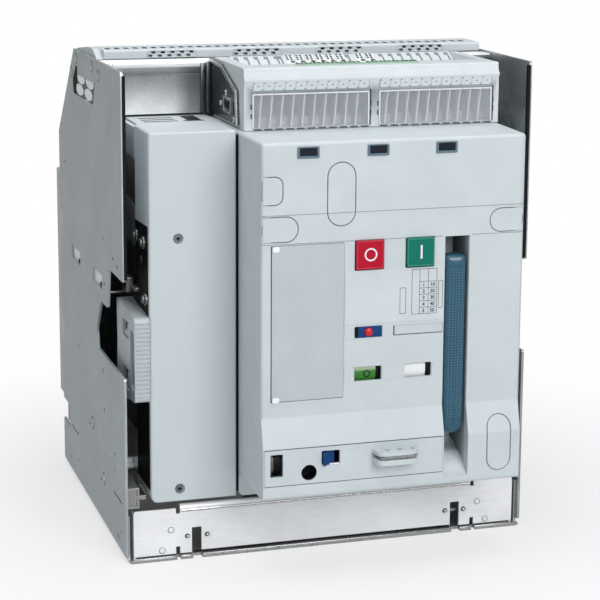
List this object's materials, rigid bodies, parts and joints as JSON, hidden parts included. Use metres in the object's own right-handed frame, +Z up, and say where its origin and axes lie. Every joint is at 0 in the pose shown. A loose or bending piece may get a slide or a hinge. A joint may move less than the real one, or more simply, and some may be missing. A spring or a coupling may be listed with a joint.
{
  "type": "draw-out switch disconnector",
  "caption": "Low-voltage switch disconnector on rails in a sheet-metal cradle, with charging handle, push buttons, racking panel, shutters and rear terminals.",
  "frame": {"origin": "centre of the four base bolts, on the underside of the cradle's pan", "axes": "+X to the right of someone facing the switch, +Y towards the rear terminals, +Z up"},
  "size_m": [0.407, 0.449, 0.473],
  "materials": {
    "zinc_plate": "zinc-plated sheet, satin",
    "zinc_sheet": "zinc-plated sheet, satin",
    "satin_tray": "bright satin sheet",
    "rail_steel": "drawn bright steel",
    "black_moulding": "black glass-filled moulding",
    "shutter_plastic": "dark insulating sheet",
    "plated_copper": "silver-plated copper",
    "spring_steel": "machined steel",
    "chute_plates": "dark steel splitter plates",
    "grey_hood": "mid grey moulding",
    "grey_block": "light blue-grey moulding",
    "clear_flap": "clear moulded flap",
    "white_terminals": "white moulding",
    "grey_cover": "light blue-grey moulding, fine texture",
    "blank_grey": "light blue-grey moulding",
    "dark_latch": "dark blue-grey moulding",
    "grip_grey": "mid grey ribbed moulding",
    "handle_blue": "steel-blue moulding, dotted grip",
    "off_red": "red moulding",
    "on_green": "green moulding",
    "control_blue": "blue moulding",
    "reset_red": "red moulding",
    "flag_green": "green indicator",
    "flag_white": "white indicator"
  },
  "bodies": {
    "cradle": {"left_side_plate": "zinc_plate", "right_side_plate": "zinc_plate", "base_pan": "zinc_sheet", "tray_front": "satin_tray", "rail_guides": "zinc_sheet", "rear_moulding": "grey_block", "upper_fixed_contacts": "plated_copper", "lower_fixed_contacts": "plated_copper", "shutter_guides": "black_moulding", "vented_hood": "grey_hood", "cross_member": "zinc_sheet", "block_brackets": "zinc_sheet", "terminal_block": "grey_block", "terminal_strips": "white_terminals", "terminal_modules": "white_terminals", "racking_nut": "zinc_sheet", "plate_rivets": "zinc_sheet", "plate_screws": "zinc_sheet"},
    "rails": {"left_rail": "rail_steel", "right_rail": "rail_steel"},
    "switch": {"carriage": "zinc_sheet", "carriage_feet": "zinc_sheet", "pole_housing": "black_moulding", "housing_back": "black_moulding", "upper_stubs": "plated_copper", "lower_stubs": "plated_copper", "finger_clusters": "plated_copper", "cluster_cages": "spring_steel", "arc_chutes": "chute_plates", "chute_seats": "black_moulding", "mechanism_cheeks": "spring_steel", "flag_pin": "spring_steel", "front_mask": "grey_cover", "racking_panel": "grey_cover", "neutral_cover": "grey_cover", "blank_cover": "blank_grey", "cover_latches": "dark_latch", "button_carrier": "dark_latch", "reset_bezel": "control_blue", "drum_bracket": "spring_steel", "slider_keeper": "dark_latch", "left_grip": "grip_grey", "right_grip": "grip_grey"},
    "contact_shaft": {"main_shaft": "spring_steel", "moving_contacts": "plated_copper"},
    "charging_shaft": {"charging_shaft": "spring_steel"},
    "charging_handle": {"charging_handle": "handle_blue"},
    "off_button": {"off_button": "off_red"},
    "on_button": {"on_button": "on_green"},
    "reset_button": {"reset_button": "reset_red"},
    "contact_flag": {"contact_flag": "flag_green"},
    "charge_flag": {"charge_flag": "flag_white"},
    "position_drum": {"position_drum": "flag_white"},
    "crank_slider": {"crank_slider": "control_blue"},
    "padlock_leaf": {"padlock_leaf": "zinc_sheet"},
    "racking_spindle": {"racking_spindle": "spring_steel"},
    "upper_shutter": {"upper_shutter": "shutter_plastic"},
    "lower_shutter": {"lower_shutter": "shutter_plastic"},
    "left_flap": {"left_flap": "clear_flap"},
    "right_flap": {"right_flap": "clear_flap"}
  },
  "joints": [
    {"name": "withdraw_slide", "type": "slide", "parent": "cradle", "child": "rails", "axis": [0, -1, 0], "range_m": [0, 0.25]},
    {"name": "racking_slide", "type": "slide", "parent": "rails", "child": "switch", "axis": [0, -1, 0], "range_m": [0, 0.05]},
    {"name": "contact_shaft_turn", "type": "hinge", "parent": "switch", "child": "contact_shaft", "pos_m": [0, -0.046, 0.185], "axis": [-1, 0, 0], "range_deg": [0, 30], "stiffness_Nm_per_rad": 3, "springref_deg": -22.92},
    {"name": "charging_shaft_turn", "type": "hinge", "parent": "switch", "child": "charging_shaft", "pos_m": [0, -0.214, 0.14], "axis": [1, 0, 0], "range_deg": [0, 180]},
    {"name": "charging_handle_turn", "type": "hinge", "parent": "switch", "child": "charging_handle", "pos_m": [0, -0.214, 0.14], "axis": [1, 0, 0], "range_deg": [0, 85], "stiffness_Nm_per_rad": 0.25, "springref_deg": -28.65},
    {"name": "off_press", "type": "slide", "parent": "switch", "child": "off_button", "axis": [0, 1, 0], "range_m": [0, 0.005], "stiffness_N_per_m": 600, "springref_m": -0.003},
    {"name": "on_press", "type": "slide", "parent": "switch", "child": "on_button", "axis": [0, 1, 0], "range_m": [0, 0.005], "stiffness_N_per_m": 600, "springref_m": -0.003},
    {"name": "reset_press", "type": "slide", "parent": "switch", "child": "reset_button", "axis": [0, 1, 0], "range_m": [0, 0.003], "stiffness_N_per_m": 300, "springref_m": -0.002},
    {"name": "contact_flag_turn", "type": "hinge", "parent": "switch", "child": "contact_flag", "pos_m": [0, -0.216, 0.1905], "axis": [1, 0, 0], "range_deg": [0, 60]},
    {"name": "charge_flag_turn", "type": "hinge", "parent": "switch", "child": "charge_flag", "pos_m": [0, -0.216, 0.1905], "axis": [1, 0, 0], "range_deg": [0, 60]},
    {"name": "position_drum_turn", "type": "hinge", "parent": "switch", "child": "position_drum", "pos_m": [0, -0.229, 0.11125], "axis": [1, 0, 0], "range_deg": [0, 120]},
    {"name": "crank_slider_move", "type": "slide", "parent": "switch", "child": "crank_slider", "axis": [1, 0, 0], "range_m": [0, 0.008]},
    {"name": "padlock_leaf_pull", "type": "slide", "parent": "switch", "child": "padlock_leaf", "axis": [0, -1, 0], "range_m": [0, 0.01], "stiffness_N_per_m": 120, "springref_m": -0.004},
    {"name": "racking_spindle_turn", "type": "hinge", "parent": "switch", "child": "racking_spindle", "pos_m": [-0.0465, 0, 0.1025], "axis": [0, 1, 0], "range_deg": [0, 1800]},
    {"name": "upper_shutter_drop", "type": "slide", "parent": "cradle", "child": "upper_shutter", "axis": [0, 0, -1], "range_m": [0, 0.032]},
    {"name": "lower_shutter_drop", "type": "slide", "parent": "cradle", "child": "lower_shutter", "axis": [0, 0, -1], "range_m": [0, 0.032]},
    {"name": "left_flap_lift", "type": "hinge", "parent": "cradle", "child": "left_flap", "pos_m": [-0.02, -0.1608, 0.441], "axis": [-1, 0, 0], "range_deg": [0, 95]},
    {"name": "right_flap_lift", "type": "hinge", "parent": "cradle", "child": "right_flap", "pos_m": [0.1035, -0.1608, 0.441], "axis": [-1, 0, 0], "range_deg": [0, 95]}
  ],
  "couplings": [
    {"joint": "racking_spindle_turn", "follows": "racking_slide", "rad_per_m": 628},
    {"joint": "position_drum_turn", "follows": "racking_slide", "rad_per_m": 41.8},
    {"joint": "upper_shutter_drop", "follows": "withdraw_slide", "ratio": 0.128},
    {"joint": "lower_shutter_drop", "follows": "withdraw_slide", "ratio": 0.128},
    {"joint": "contact_flag_turn", "follows": "contact_shaft_turn", "ratio": 2},
    {"joint": "charge_flag_turn", "follows": "charging_shaft_turn", "ratio": 0.3333}
  ]
}
